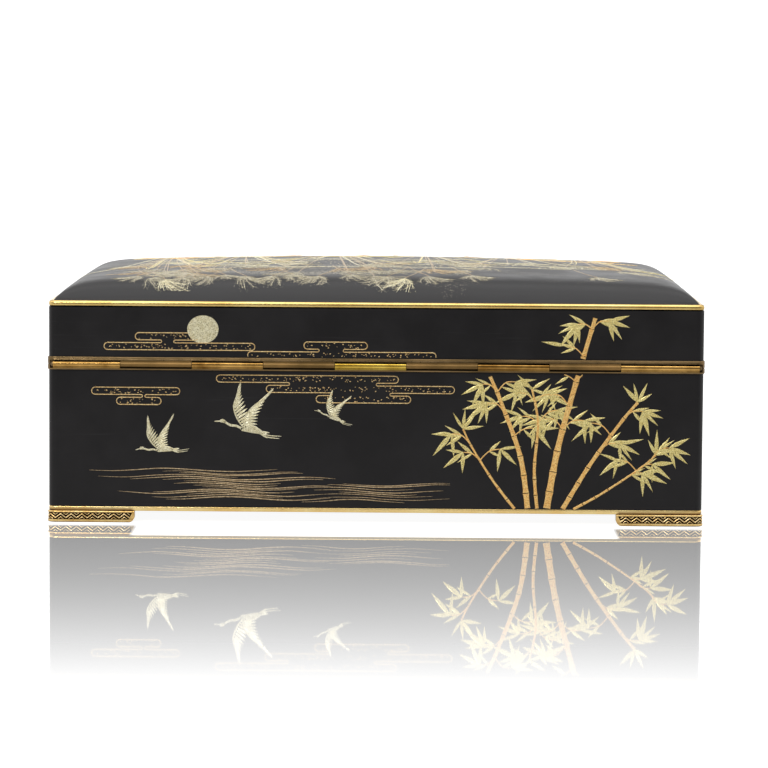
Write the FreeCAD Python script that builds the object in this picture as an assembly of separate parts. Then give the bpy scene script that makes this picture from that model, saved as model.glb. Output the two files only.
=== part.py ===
"""Hinged writing box with a domed lid, gilt rims, bracket feet and a fitted inner tray.

The box is a blackened sheet-metal case edged with gilt brass. Its lid turns on a barrel hinge that
runs the whole width of one long side. Inside, a lift-out tray holds an inkstone, a water dropper, an
ink stick and two brushes, and paper is kept in the space under the tray.

Lengths are in millimetres. X runs along the box's width, -Y is the hinge side, +Y the side that
opens, and Z is up. The origin is on the surface the feet stand on, under the middle of the walls.
"""

import FreeCAD, Part
import math
import os
from FreeCAD import Vector

# ---------------------------------------------------------------- driving sizes: the case
box_width = 210.0
box_depth = 150.0
corner_radius = 2.5
wall_thickness = 1.6
seam_height = 51.0
crown_height = 71.4

foot_height = 3.7
base_rim_height = 1.6
base_rim_width = 4.0
base_rim_rounding = 0.5
body_rim_height = 1.8
lid_rim_height = 2.4
mouth_rim_projection = 0.35
back_rim_projection = 0.8
mouth_rim_rounding = 0.3
crown_rim_height = 2.05
crown_rim_width = 3.2
crown_rim_rounding = 0.85

bottom_plate_thickness = 1.5
lining_thickness = 0.8
lip_height = 1.8
lip_clearance = 0.3
fit_clearance = 0.05

# ---------------------------------------------------------------- driving sizes: the lid panel
panel_thickness = 1.4
panel_inset = 1.5
panel_edge_depth = 1.4
shoulder_rise = 6.2
shoulder_width = 24.0
shoulder_power = 5
crown_rise = 3.8
surface_points_along_width = 41
surface_points_along_depth = 33
edge_crowding = 0.55

# ---------------------------------------------------------------- driving sizes: the hinge
barrel_radius = 1.0
pin_radius = 0.5
pin_clearance = 0.05
pin_head_radius = 0.75
axis_projection = 0.0
barrel_gap = 0.3
hinge_end_inset = 1.45
knuckle_count = 9
first_knuckle_length = 21.6
last_knuckle_length = 25.2
knuckle_end_gap = 0.15
rebate_overrun = 1.0
leaf_setback = 0.1
leaf_projection = 0.65

# ---------------------------------------------------------------- driving sizes: the feet
foot_arm_length = 28.0
foot_width = 3.4
foot_projection = 0.4
foot_end_slope = 2.4
foot_end_round_height = 1.65
foot_bottom_bead = 0.9
foot_top_bead = 0.5
foot_panel_recess = 0.3
foot_edge_rounding = 0.3

# ---------------------------------------------------------------- driving sizes: the inner tray
paper_room_height = 16.4
tray_depth = 22.0
tray_wall = 3.0
tray_floor = 2.5
tray_clearance = 0.35
brush_room_depth = 34.5
partition_thickness = 2.5
finger_notch_radius = 10.0
finger_notch_depth = 6.7
rail_width = 4.5
rail_length = 104.0

board_thickness = 8.0
board_clearance = 0.3
well_clearance = 0.3

inkstone_length = 108.0
inkstone_width = 70.0
inkstone_height = 14.0
inkstone_from_board_end = 10.9
inkstone_border = 4.0
inkstone_corner = 3.0
inkstone_face_depth = 1.4
ink_pool_length = 26.0
ink_pool_depth = 7.5

dropper_size = 40.0
dropper_height = 14.5
dropper_wall = 1.2
dropper_top_thickness = 1.0
dropper_corner = 6.0
dropper_hole_radius = 1.2
dropper_from_board_end = 14.9
dropper_from_board_edge = 12.0

ink_stick_to_inkstone = 13.0
ink_stick_to_board_end = 3.9
ink_stick_width = 16.0
ink_stick_height = 9.0
ink_stick_groove_depth = 4.5
ink_stick_rounding = 1.5
ink_stick_to_dropper = 8.0

rest_thickness = 6.0
rest_height = 7.0
rest_to_brush_end = {"left": 107.0, "right": 25.0}
brush_axis_height = 7.0
notch_clearance = 0.2
brush_end_gap = 8.0

# name: (handle radius, handle length, collar length, tuft length, share of the brush room's depth)
brushes = {
    "brush_large": (4.0, 126.0, 9.0, 40.0, 0.30),
    "brush_small": (3.0, 134.0, 7.0, 30.0, 0.72),
}
collar_extra_radius = 0.6
collar_taper = 0.45
collar_taper_length = 2.2
handle_end_rounding = 1.2

# a tuft's outline from its tip: (share of its length, share of its handle's radius)
tuft_outline = [(0.0, 0.0), (0.12, 0.34), (0.35, 0.82), (0.65, 1.12)]

# ---------------------------------------------------------------- heights and places worked out
base_rim_top = foot_height + base_rim_height
plate_top = base_rim_top + bottom_plate_thickness
floor_top = plate_top + lining_thickness
body_rim_bottom = seam_height - body_rim_height
lid_rim_top = seam_height + lid_rim_height
crown_rim_bottom = crown_height - crown_rim_height
lining_inset = wall_thickness + fit_clearance
inside_inset = lining_inset + lining_thickness
lip_inset = wall_thickness + lip_clearance

hinge_side = -box_depth / 2
axis_y = hinge_side - axis_projection
rebate_wall = axis_y + barrel_radius + barrel_gap
rebate_height = barrel_radius + barrel_gap
hinge_start = hinge_end_inset - box_width / 2
hinge_end = box_width / 2 - hinge_end_inset

tray_inset = inside_inset + tray_clearance
tray_bottom = floor_top + paper_room_height
tray_top = tray_bottom + tray_depth
tray_floor_top = tray_bottom + tray_floor
tray_half_width = box_width / 2 - tray_inset
tray_half_depth = box_depth / 2 - tray_inset
room_half_width = tray_half_width - tray_wall
room_half_depth = tray_half_depth - tray_wall
partition_front = room_half_depth - brush_room_depth
partition_back = partition_front - partition_thickness
board_front = partition_back - board_clearance
board_back = -room_half_depth + board_clearance
board_half_width = room_half_width - board_clearance
board_centre_y = (board_front + board_back) / 2
board_top = tray_floor_top + board_thickness
inkstone_centre_x = inkstone_from_board_end + inkstone_length / 2 - board_half_width
dropper_centre_x = board_half_width - dropper_from_board_end - dropper_size / 2
dropper_centre_y = board_back + dropper_from_board_edge + dropper_size / 2
ink_stick_centre_y = dropper_centre_y + dropper_size / 2 + ink_stick_to_dropper + ink_stick_width / 2
ink_stick_start = inkstone_centre_x + inkstone_length / 2 + ink_stick_to_inkstone
ink_stick_end = board_half_width - ink_stick_to_board_end
brush_end = room_half_width - brush_end_gap


# ---------------------------------------------------------------- shared shapes
def box(x, y, z):
    """A block between the given (low, high) pairs."""
    size = [high - low for low, high in (x, y, z)]
    return Part.makeBox(size[0], size[1], size[2], Vector(x[0], y[0], z[0]))


def rounded_block(x, y, z, radius):
    """A block whose four upright edges are rounded."""
    block = box(x, y, z)
    if radius < 0.05:
        return block
    upright = [e for e in block.Edges if abs(e.Vertexes[0].Z - e.Vertexes[-1].Z) > 0.01]
    return block.makeFillet(radius, upright)


def case_block(inset, bottom, top):
    """A block that follows the case's outline, moved inwards by inset."""
    half_width = box_width / 2 - inset
    half_depth = box_depth / 2 - inset
    return rounded_block(
        (-half_width, half_width),
        (-half_depth, half_depth),
        (bottom, top),
        max(corner_radius - inset, 0),
    )


def case_ring(outer_inset, inner_inset, bottom, top):
    """A band round the case between two insets."""
    return case_block(outer_inset, bottom, top).cut(case_block(inner_inset, bottom - 1, top + 1))


def rounded_levels(block, rounding):
    """A block whose upper and lower edges are rounded all the way round."""
    level = [e for e in block.Edges if abs(e.Vertexes[0].Z - e.Vertexes[-1].Z) < 0.01]
    return block.makeFillet(rounding, level)


def rounded_rim(outline, inner_inset, rounding):
    """A rim round the case, hollowed from a block whose upper and lower edges are rounded first."""
    extent = outline.BoundBox
    hollow = case_block(inner_inset, extent.ZMin - 1, extent.ZMax + 1)
    return rounded_levels(outline, rounding).cut(hollow)


def cylinder_along_x(radius, start, end, y, z):
    return Part.makeCylinder(radius, end - start, Vector(start, y, z), Vector(1, 0, 0))


def revolved_along_x(profile, y, z):
    """Turns (x, radius) points about a line along X, closing them on that line."""
    points = [Vector(profile[0][0], y, z)]
    points += [Vector(x, y, z + radius) for x, radius in profile]
    points += [Vector(profile[-1][0], y, z), points[0]]
    distinct = [points[0]]
    for point in points[1:]:
        if (point - distinct[-1]).Length > 1e-6:
            distinct.append(point)
    face = Part.Face(Part.makePolygon(distinct))
    return face.revolve(Vector(0, y, z), Vector(1, 0, 0), 360)


parts = {}


# ---------------------------------------------------------------- the case
def make_case():
    """Walls, floor and linings of the body. The bottom plate lies on a ledge inside the base rim."""
    parts["body_walls"] = case_ring(0, wall_thickness, base_rim_top, body_rim_bottom)
    rim_outline = case_block(0, foot_height, base_rim_top)
    parts["base_rim"] = rounded_rim(rim_outline, base_rim_width, base_rim_rounding)
    parts["bottom_plate"] = case_block(lining_inset, base_rim_top, plate_top)
    parts["floor_lining"] = case_block(lining_inset, plate_top, floor_top)
    band = case_ring(lining_inset, inside_inset, floor_top, seam_height)
    lip = case_ring(lip_inset, inside_inset, seam_height, seam_height + lip_height)
    parts["body_lining"] = band.fuse(lip).removeSplitter()


def hinge_rebate(bottom, top):
    """The groove along the hinge side that the barrel lies in."""
    x = (hinge_start - rebate_overrun, hinge_end + rebate_overrun)
    return box(x, (axis_y - 2 * barrel_radius, rebate_wall), (bottom, top))


def mouth_rim(bottom, top):
    """A rim standing a little proud of the walls, and more so at the back, where it carries the hinge."""
    half_width = box_width / 2 + mouth_rim_projection
    front = box_depth / 2 + mouth_rim_projection
    back = hinge_side - back_rim_projection
    radius = corner_radius + mouth_rim_projection
    outline = rounded_block((-half_width, half_width), (back, front), (bottom, top), radius)
    return rounded_rim(outline, wall_thickness, mouth_rim_rounding)


def make_mouth_rims():
    """The two gilt rims that meet at the seam. Each has half of the hinge's groove cut along the back.

    The groove's outer corners stand further out than the hinge's axis, so they meet when the lid is
    about 117 degrees open, and stop it.
    """
    low_groove = hinge_rebate(seam_height - rebate_height, seam_height + 1)
    high_groove = hinge_rebate(seam_height - 1, seam_height + rebate_height)
    parts["body_mouth_rim"] = mouth_rim(body_rim_bottom, seam_height).cut(low_groove)
    parts["lid_mouth_rim"] = mouth_rim(seam_height, lid_rim_top).cut(high_groove)


# ---------------------------------------------------------------- the hinge
def knuckle_spans():
    """Start and end of each knuckle along X. The end ones differ a little, the rest share what is left."""
    inner_length = hinge_end - hinge_start - first_knuckle_length - last_knuckle_length
    inner_count = knuckle_count - 2
    lengths = [first_knuckle_length] + [inner_length / inner_count] * inner_count + [last_knuckle_length]
    spans = []
    start = hinge_start
    for length in lengths:
        spans.append((start, start + length))
        start += length
    return spans


def make_knuckle(start, end, above):
    """One length of the barrel, with the leaf that joins it to the rim above or below it.

    The leaf comes out almost as far as the rim's back face, so only the knuckle's other side shows a gap.
    """
    low = start + knuckle_end_gap / 2
    high = end - knuckle_end_gap / 2
    barrel = cylinder_along_x(barrel_radius, low, high, axis_y, seam_height)
    if above:
        leaf_z = (seam_height + leaf_setback, seam_height + rebate_height)
    else:
        leaf_z = (seam_height - rebate_height, seam_height - leaf_setback)
    leaf = box((low, high), (axis_y - leaf_projection, rebate_wall), leaf_z)
    bore = cylinder_along_x(pin_radius + pin_clearance, low - 1, high + 1, axis_y, seam_height)
    return barrel.fuse(leaf).cut(bore).removeSplitter()


def make_hinge():
    """Nine knuckles, taken in turn by body and lid from both ends, on one headed pin."""
    for index, (start, end) in enumerate(knuckle_spans()):
        on_lid = index % 2 == 1
        owner = "lid" if on_lid else "body"
        parts[f"{owner}_knuckle_{index // 2 + 1}"] = make_knuckle(start, end, on_lid)
    shaft = cylinder_along_x(pin_radius, hinge_start, hinge_end, axis_y, seam_height)
    heads = []
    for end, outwards in ((hinge_start, -1), (hinge_end, 1)):
        centre = Vector(end, axis_y, seam_height)
        heads.append(Part.makeSphere(pin_head_radius, centre, Vector(outwards, 0, 0), 0, 90, 360))
    parts["hinge_pin"] = shaft.fuse(heads).removeSplitter()


# ---------------------------------------------------------------- the lid
def lid_rise(x, y, half_width, half_depth):
    """Height of the panel's skin over its own edge: a steep shoulder that dies into a low crown."""
    from_side = half_width - abs(x)
    from_end = half_depth - abs(y)
    if min(from_side, from_end) < 1e-6:
        return 0.0
    from_edge = from_side * from_end / math.hypot(from_side, from_end)
    remaining = max(1 - from_edge / shoulder_width, 0)
    shoulder = shoulder_rise * (1 - remaining**shoulder_power)
    crown = crown_rise * (1 - (x / half_width) ** 2) * (1 - (y / half_depth) ** 2)
    return shoulder + crown


def spread(count, half):
    """Places from -half to half, closer together near the two ends."""
    places = []
    for index in range(count):
        share = 2 * index / (count - 1) - 1
        crowded = math.sin(share * math.pi / 2)
        places.append(half * ((1 - edge_crowding) * share + edge_crowding * crowded))
    return places


def domed_prism(inset, edge_height, bottom):
    """Everything under a domed skin whose straight edge stands at edge_height."""
    half_width = box_width / 2 - inset
    half_depth = box_depth / 2 - inset
    rows = []
    for x in spread(surface_points_along_width, half_width):
        row = []
        for y in spread(surface_points_along_depth, half_depth):
            row.append(Vector(x, y, edge_height + lid_rise(x, y, half_width, half_depth)))
        rows.append(row)
    skin = Part.BSplineSurface()
    skin.interpolate(rows)
    depth = edge_height + shoulder_rise + crown_rise - bottom
    return skin.toShape().extrude(Vector(0, 0, -depth))


def make_lid():
    """Walls, crown rim and domed panel. The panel's flat edge sits on a step inside the crown rim."""
    parts["lid_walls"] = case_ring(0, wall_thickness, lid_rim_top, crown_rim_bottom)
    seat = crown_height - panel_edge_depth
    rim = rounded_rim(case_block(0, crown_rim_bottom, crown_height), crown_rim_width, crown_rim_rounding)
    parts["crown_rim"] = rim.cut(case_block(panel_inset, seat, crown_height + 1))
    outer_inset = panel_inset + fit_clearance
    outer = domed_prism(outer_inset, crown_height, seat - 1)
    top = crown_height + shoulder_rise + crown_rise + 1
    outer = outer.common(case_block(outer_inset, seat, top))
    inner = domed_prism(outer_inset + panel_thickness, crown_height - panel_thickness, seat - 1)
    parts["lid_panel"] = outer.cut(inner)
    parts["lid_lining"] = case_ring(
        lining_inset, inside_inset, lid_rim_top, crown_rim_bottom - fit_clearance
    )


# ---------------------------------------------------------------- the feet
def make_foot(side, end):
    """A two-armed bracket foot under one corner, with a sunk panel between two beads round its outside."""
    reach_x = box_width / 2 + foot_projection
    reach_y = box_depth / 2 + foot_projection
    block = rounded_levels(case_block(-foot_projection, 0, foot_height), foot_edge_rounding)
    sunk = case_ring(
        -foot_projection - 1,
        foot_panel_recess - foot_projection,
        foot_bottom_bead,
        foot_height - foot_top_bead,
    )
    inside = case_block(foot_width - foot_projection, -1, foot_height + 1)
    ring = block.cut(sunk).cut(inside)
    along_x = arm_region(reach_x, side, reach_y, end)
    along_y = arm_region(reach_y, end, reach_x, side)
    along_y = along_y.transformGeometry(swap_x_and_y())
    return ring.common(along_x.fuse(along_y))


def swap_x_and_y():
    """Turns a shape drawn for an arm along X into the same shape for an arm along Y."""
    matrix = FreeCAD.Matrix()
    matrix.A11 = 0
    matrix.A12 = 1
    matrix.A21 = 1
    matrix.A22 = 0
    return matrix


def arm_region(reach, side, cross_reach, cross_side):
    """The space one arm fills. Its inner end leans outwards from the rim down, and is rounded at the foot."""
    outer = reach + 1
    inner_top = reach - foot_arm_length
    inner_bottom = inner_top + foot_end_slope
    bend = foot_end_round_height
    bow = 1 - math.sqrt(0.5)
    y_outer = cross_side * (cross_reach + 1)
    y_inner = cross_side * (cross_reach - foot_width)
    start_y = min(y_outer, y_inner)
    top = foot_height + 1
    outline = [
        Vector(side * outer, start_y, -1),
        Vector(side * outer, start_y, top),
        Vector(side * inner_top, start_y, top),
        Vector(side * inner_top, start_y, bend),
        Vector(side * inner_bottom, start_y, 0),
        Vector(side * inner_bottom, start_y, -1),
    ]
    middle = Vector(side * (inner_top + foot_end_slope * bow), start_y, bend * bow)
    edges = [
        Part.makeLine(outline[0], outline[1]),
        Part.makeLine(outline[1], outline[2]),
        Part.makeLine(outline[2], outline[3]),
        Part.Arc(outline[3], middle, outline[4]).toShape(),
        Part.makeLine(outline[4], outline[5]),
        Part.makeLine(outline[5], outline[0]),
    ]
    face = Part.Face(Part.Wire(edges))
    return face.extrude(Vector(0, abs(y_outer - y_inner), 0))


def make_feet():
    for side, side_name in ((-1, "left"), (1, "right")):
        for end, end_name in ((-1, "back"), (1, "front")):
            parts[f"foot_{end_name}_{side_name}"] = make_foot(side, end)


# ---------------------------------------------------------------- the tray and what stands on it
def make_tray():
    """The lift-out tray, with one long room for brushes and a larger one for the inkstone board."""
    outer = box(
        (-tray_half_width, tray_half_width),
        (-tray_half_depth, tray_half_depth),
        (tray_bottom, tray_top),
    )
    brush_room = box(
        (-room_half_width, room_half_width),
        (partition_front, room_half_depth),
        (tray_floor_top, tray_top + 1),
    )
    board_room = box(
        (-room_half_width, room_half_width),
        (-room_half_depth, partition_back),
        (tray_floor_top, tray_top + 1),
    )
    notch_z = tray_top - finger_notch_depth + finger_notch_radius
    notches = cylinder_along_x(finger_notch_radius, -tray_half_width - 1, tray_half_width + 1, 0, notch_z)
    parts["writing_tray"] = outer.cut(brush_room).cut(board_room).cut(notches)


def make_rails():
    """Two rails on the floor, one along each end wall, that carry the tray."""
    outer = box_width / 2 - inside_inset - fit_clearance
    for side, name in ((-1, "left"), (1, "right")):
        x = sorted((side * outer, side * (outer - rail_width)))
        y = (-rail_length / 2, rail_length / 2)
        parts[f"tray_rail_{name}"] = box(x, y, (floor_top, tray_bottom))


def make_board():
    """The board with wells for the inkstone and dropper cut through it, and a groove for the ink stick."""
    x = (-board_half_width, board_half_width)
    board = box(x, (board_back, board_front), (tray_floor_top, board_top))
    stone_well = rounded_block(
        span(inkstone_centre_x, inkstone_length + 2 * well_clearance),
        span(board_centre_y, inkstone_width + 2 * well_clearance),
        (tray_floor_top - 1, board_top + 1),
        inkstone_corner + well_clearance,
    )
    dropper_well = rounded_block(
        span(dropper_centre_x, dropper_size + 2 * well_clearance),
        span(dropper_centre_y, dropper_size + 2 * well_clearance),
        (tray_floor_top - 1, board_top + 1),
        dropper_corner + well_clearance,
    )
    groove = box(
        (ink_stick_start - well_clearance, ink_stick_end + well_clearance),
        span(ink_stick_centre_y, ink_stick_width + 2 * well_clearance),
        (board_top - ink_stick_groove_depth, board_top + 1),
    )
    parts["inkstone_board"] = board.cut(stone_well).cut(dropper_well).cut(groove)


def span(centre, length):
    """The (low, high) pair of a length centred on a place."""
    return (centre - length / 2, centre + length / 2)


def make_inkstone():
    """A slate slab with a raised border, a grinding face and a deeper pool at its left end."""
    top = tray_floor_top + inkstone_height
    slab = rounded_block(
        span(inkstone_centre_x, inkstone_length),
        span(board_centre_y, inkstone_width),
        (tray_floor_top, top),
        inkstone_corner,
    )
    inner_x = span(inkstone_centre_x, inkstone_length - 2 * inkstone_border)
    inner_y = span(board_centre_y, inkstone_width - 2 * inkstone_border)
    face = rounded_block(inner_x, inner_y, (top - inkstone_face_depth, top + 1), inkstone_corner)
    pool_x = (inner_x[0], inner_x[0] + ink_pool_length)
    pool = rounded_block(pool_x, inner_y, (top - ink_pool_depth, top + 1), inkstone_corner)
    slope = [
        Vector(pool_x[1] - inkstone_corner, inner_y[0] + inkstone_corner, top - ink_pool_depth),
        Vector(pool_x[1] - inkstone_corner, inner_y[0] + inkstone_corner, top),
        Vector(pool_x[1] + ink_pool_length, inner_y[0] + inkstone_corner, top),
        Vector(pool_x[1] + ink_pool_length, inner_y[0] + inkstone_corner, top - inkstone_face_depth),
    ]
    slope.append(slope[0])
    slope_width = inner_y[1] - inner_y[0] - 2 * inkstone_corner
    ramp = Part.Face(Part.makePolygon(slope)).extrude(Vector(0, slope_width, 0))
    parts["inkstone"] = slab.cut(face).cut(pool).cut(ramp)


def make_dropper():
    """A square metal water dropper: a hollow vessel closed by a top plate with two small holes."""
    x = span(dropper_centre_x, dropper_size)
    y = span(dropper_centre_y, dropper_size)
    vessel_top = tray_floor_top + dropper_height
    vessel = rounded_block(x, y, (tray_floor_top, vessel_top), dropper_corner)
    hollow = rounded_block(
        (x[0] + dropper_wall, x[1] - dropper_wall),
        (y[0] + dropper_wall, y[1] - dropper_wall),
        (tray_floor_top + dropper_wall, vessel_top + 1),
        dropper_corner - dropper_wall,
    )
    parts["dropper_vessel"] = vessel.cut(hollow)
    plate = rounded_block(x, y, (vessel_top, vessel_top + dropper_top_thickness), dropper_corner)
    up = Vector(0, 0, 1)
    spout_offset = dropper_size / 2 - dropper_corner
    holes = [
        Vector(dropper_centre_x, dropper_centre_y, vessel_top - 1),
        Vector(dropper_centre_x + spout_offset, dropper_centre_y + spout_offset, vessel_top - 1),
    ]
    for place in holes:
        plate = plate.cut(Part.makeCylinder(dropper_hole_radius, dropper_top_thickness + 2, place, up))
    parts["dropper_top"] = plate


def make_ink_stick():
    bottom = board_top - ink_stick_groove_depth
    stick = box(
        (ink_stick_start, ink_stick_end),
        span(ink_stick_centre_y, ink_stick_width),
        (bottom, bottom + ink_stick_height),
    )
    parts["ink_stick"] = stick.makeFillet(ink_stick_rounding, stick.Edges)


def brush_line(name):
    """Y and Z of a brush's centre line."""
    share = brushes[name][4]
    return partition_front + share * brush_room_depth, tray_floor_top + brush_axis_height


def make_brush_rests():
    """Two notched bars across the brush room."""
    y = (partition_front + board_clearance, room_half_depth - board_clearance)
    z = (tray_floor_top, tray_floor_top + rest_height)
    for side_name, distance in rest_to_brush_end.items():
        x = span(brush_end - distance, rest_thickness)
        bar = box(x, y, z)
        for name, (radius, *_) in brushes.items():
            line_y, line_z = brush_line(name)
            bar = bar.cut(cylinder_along_x(radius + notch_clearance, x[0] - 1, x[1] + 1, line_y, line_z))
        parts[f"brush_rest_{side_name}"] = bar


def make_brushes():
    """Bamboo handle, horn collar and pointed tuft, on one line. The tuft is at the left end."""
    for name, (radius, handle, collar, tuft, _) in brushes.items():
        y, z = brush_line(name)
        handle_start = brush_end - handle
        collar_start = handle_start - collar
        tip = collar_start - tuft
        body = cylinder_along_x(radius, handle_start, brush_end, y, z)
        ends = [e for e in body.Edges if abs(e.CenterOfMass.x - brush_end) < 0.01]
        parts[f"{name}_handle"] = body.makeFillet(handle_end_rounding, ends)
        wide = radius + collar_extra_radius
        mouth = wide - collar_taper
        collar_profile = [
            (collar_start, mouth),
            (collar_start + collar_taper_length, wide),
            (handle_start, radius),
        ]
        parts[f"{name}_collar"] = revolved_along_x(collar_profile, y, z)
        tuft_profile = [(tip + along * tuft, out * radius) for along, out in tuft_outline]
        tuft_profile.append((collar_start, mouth))
        parts[f"{name}_tuft"] = revolved_along_x(tuft_profile, y, z)


# ---------------------------------------------------------------- build and write
def main():
    make_case()
    make_mouth_rims()
    make_hinge()
    make_lid()
    make_feet()
    make_tray()
    make_rails()
    make_board()
    make_inkstone()
    make_dropper()
    make_ink_stick()
    make_brush_rests()
    make_brushes()
    os.makedirs("parts", exist_ok=True)
    for name, shape in parts.items():
        solids = shape.Solids
        if not solids or not shape.isValid():
            raise ValueError(f"{name} isn't a valid solid")
        single = solids[0] if len(solids) == 1 else Part.makeCompound(solids)
        single.exportStep(f"parts/{name}.step")


main()
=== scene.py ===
import fnmatch
import math
import random

import bpy
from mathutils import Matrix, Quaternion, Vector
from mathutils.bvhtree import BVHTree


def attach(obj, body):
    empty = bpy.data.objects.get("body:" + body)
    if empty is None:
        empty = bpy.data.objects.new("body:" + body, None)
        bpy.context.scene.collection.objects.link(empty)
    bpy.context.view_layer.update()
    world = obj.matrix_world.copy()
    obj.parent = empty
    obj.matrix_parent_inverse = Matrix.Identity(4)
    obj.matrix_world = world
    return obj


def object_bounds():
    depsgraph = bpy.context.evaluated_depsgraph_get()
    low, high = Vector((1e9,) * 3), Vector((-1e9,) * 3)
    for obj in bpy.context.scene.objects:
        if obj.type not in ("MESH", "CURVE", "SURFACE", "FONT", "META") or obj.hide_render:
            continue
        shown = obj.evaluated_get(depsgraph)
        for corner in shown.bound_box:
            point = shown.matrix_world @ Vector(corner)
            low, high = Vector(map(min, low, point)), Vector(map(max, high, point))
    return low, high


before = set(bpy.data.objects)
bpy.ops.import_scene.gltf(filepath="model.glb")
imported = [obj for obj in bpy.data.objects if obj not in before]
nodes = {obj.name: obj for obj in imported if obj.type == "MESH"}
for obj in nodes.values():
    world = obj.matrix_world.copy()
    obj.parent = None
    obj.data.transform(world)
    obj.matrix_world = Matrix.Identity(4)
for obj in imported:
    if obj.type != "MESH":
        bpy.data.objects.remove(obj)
cad_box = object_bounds()
mm = 0.001


# ---- Black metal case ------------------------------------------------
# The body walls, the lid walls and the domed lid panel are thin sheet, chemically blackened and
# waxed. The colour is almost even, with a faint bloom where hands have rubbed it.

def is_socket(value):
    return isinstance(value, bpy.types.NodeSocket)


def fill(slot, value):
    """Wires a socket into a node's input, or sets the input to a value."""
    if is_socket(value):
        slot.id_data.links.new(value, slot)
    else:
        slot.default_value = value


def add_node(tree, kind, inputs=None, **settings):
    """A node with its settings and inputs. Kinds of the tree's own family go without a prefix."""
    family = "" if hasattr(bpy.types, kind) else tree.bl_idname.removesuffix("Tree")
    node = tree.nodes.new(family + kind)
    for name, value in settings.items():
        setattr(node, name, value)
    for name, value in (inputs or {}).items():
        fill(node.inputs[name], value)
    return node


def output(tree, kind, inputs=None, **settings):
    """The first output of such a node."""
    return add_node(tree, kind, inputs, **settings).outputs[0]


def math_node(operation, *values):
    tree = next(value for value in values if is_socket(value)).id_data
    return output(tree, "ShaderNodeMath", dict(enumerate(values)), operation=operation)


def product(first, *others):
    """All the masks times each other."""
    for mask in others:
        first = math_node("MULTIPLY", first, mask)
    return first


def rescale(value, low, high, to_low=0.0, to_high=1.0):
    """The value stretched from low..high to to_low..to_high, and held there outside that range."""
    ranged = dict(enumerate((value, low, high, to_low, to_high)))
    return output(value.id_data, "ShaderNodeMapRange", ranged)


def colour(value):
    """A display colour of 0 to 255 as the linear one that shaders use. A socket stays as it is."""
    if is_socket(value):
        return value
    linear = [
        share / 12.92 if share <= 0.04045 else ((share + 0.055) / 1.055) ** 2.4
        for share in (level / 255 for level in value)
    ]
    return (*linear, 1.0)


def blend_colours(mask, low, high):
    """A colour that goes from low to high as the mask goes from 0 to 1."""
    inputs = {0: mask, 6: colour(low), 7: colour(high)}
    return add_node(mask.id_data, "Mix", inputs, data_type="RGBA").outputs[2]


def object_place(tree):
    return add_node(tree, "TexCoord").outputs["Object"]


def split(vector):
    """The X, Y and Z of a vector."""
    return add_node(vector.id_data, "ShaderNodeSeparateXYZ", {0: vector}).outputs


def noise(place, scale, detail, **others):
    """Noise over a place. A scale of its own for each axis draws it out."""
    tree = place.id_data
    if isinstance(scale, tuple):
        place, scale = output(tree, "Mapping", {"Vector": place, "Scale": scale}), 1.0
    return output(tree, "TexNoise", {"Vector": place, "Scale": scale, "Detail": detail, **others})


def hand_finish_group():
    """Rubbed clouds, fine grain and sparse scratches of hand-finished metal, as masks of 0 to 1."""
    group = bpy.data.node_groups.new("hand_finish", "ShaderNodeTree")
    sockets = {"Cloud Size mm": "INPUT", "Grain Size mm": "INPUT"}
    sockets |= {"Cloud": "OUTPUT", "Grain": "OUTPUT", "Scratch": "OUTPUT"}
    for label, way in sockets.items():
        group.interface.new_socket(label, in_out=way, socket_type="NodeSocketFloat")
    place = object_place(group)
    cloud_size, grain_size, _ = add_node(group, "NodeGroupInput").outputs
    cloud = noise(place, math_node("DIVIDE", 1000.0, cloud_size), 4.0, Roughness=0.6)
    grain = noise(place, math_node("DIVIDE", 1000.0, grain_size), 2.0)
    slanting = {"Vector": place, "Rotation": (0.3, 0.5, 0.2), "Scale": (30.0, 900.0, 900.0)}
    scratch = noise(output(group, "Mapping", slanting), 1.0, 3.0, Distortion=0.4)
    masks = {
        "Cloud": rescale(cloud, 0.36, 0.64),
        "Grain": grain,
        "Scratch": rescale(scratch, 0.66, 0.74),
    }
    add_node(group, "NodeGroupOutput", masks)
    return group


hand_finish = hand_finish_group()


def use_hand_finish(tree, cloud_size, grain_size):
    """The hand-finish masks (cloud, grain and scratch) at a finish's own sizes."""
    sizes = {"Cloud Size mm": cloud_size, "Grain Size mm": grain_size}
    return add_node(tree, "Group", sizes, node_tree=hand_finish).outputs


def hand_finished(tree, cloud_size, grain_size, dark, light, scratched=None):
    """A skin cloudy from dark to light, perhaps scratched, and its cloud and grain masks."""
    cloud, grain, scratch = use_hand_finish(tree, cloud_size, grain_size)
    skin = blend_colours(cloud, dark, light)
    return blend_colours(scratch, skin, scratched) if scratched else skin, cloud, grain


def dress(material, **inputs):
    """Sets or wires inputs of the material's Principled shader, and gives the material back."""
    for label, value in inputs.items():
        fill(material.node_tree.nodes["Principled BSDF"].inputs[label.replace("_", " ")], value)
    return material


def new_finish(name, **fixed):
    """A material whose Principled shader has these fixed inputs, and its node tree."""
    material = bpy.data.materials.new(name)
    material.use_nodes = True
    return dress(material, **fixed), material.node_tree


def relief_bump(height, depth_mm, strength=1.0, under=None):
    """The normal of a surface whose height mask of 0 to 1 stands for so many millimetres."""
    inputs = {"Height": height, "Distance": depth_mm * mm, "Strength": strength}
    if under:
        inputs["Normal"] = under
    return output(height.id_data, "Bump", inputs)


def coat_nodes(material, *patterns):
    """Gives the CAD pieces whose names fit the patterns the material."""
    for pattern in patterns:
        for name in fnmatch.filter(nodes, pattern):
            nodes[name].data.materials.clear()
            nodes[name].data.materials.append(material)


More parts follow.
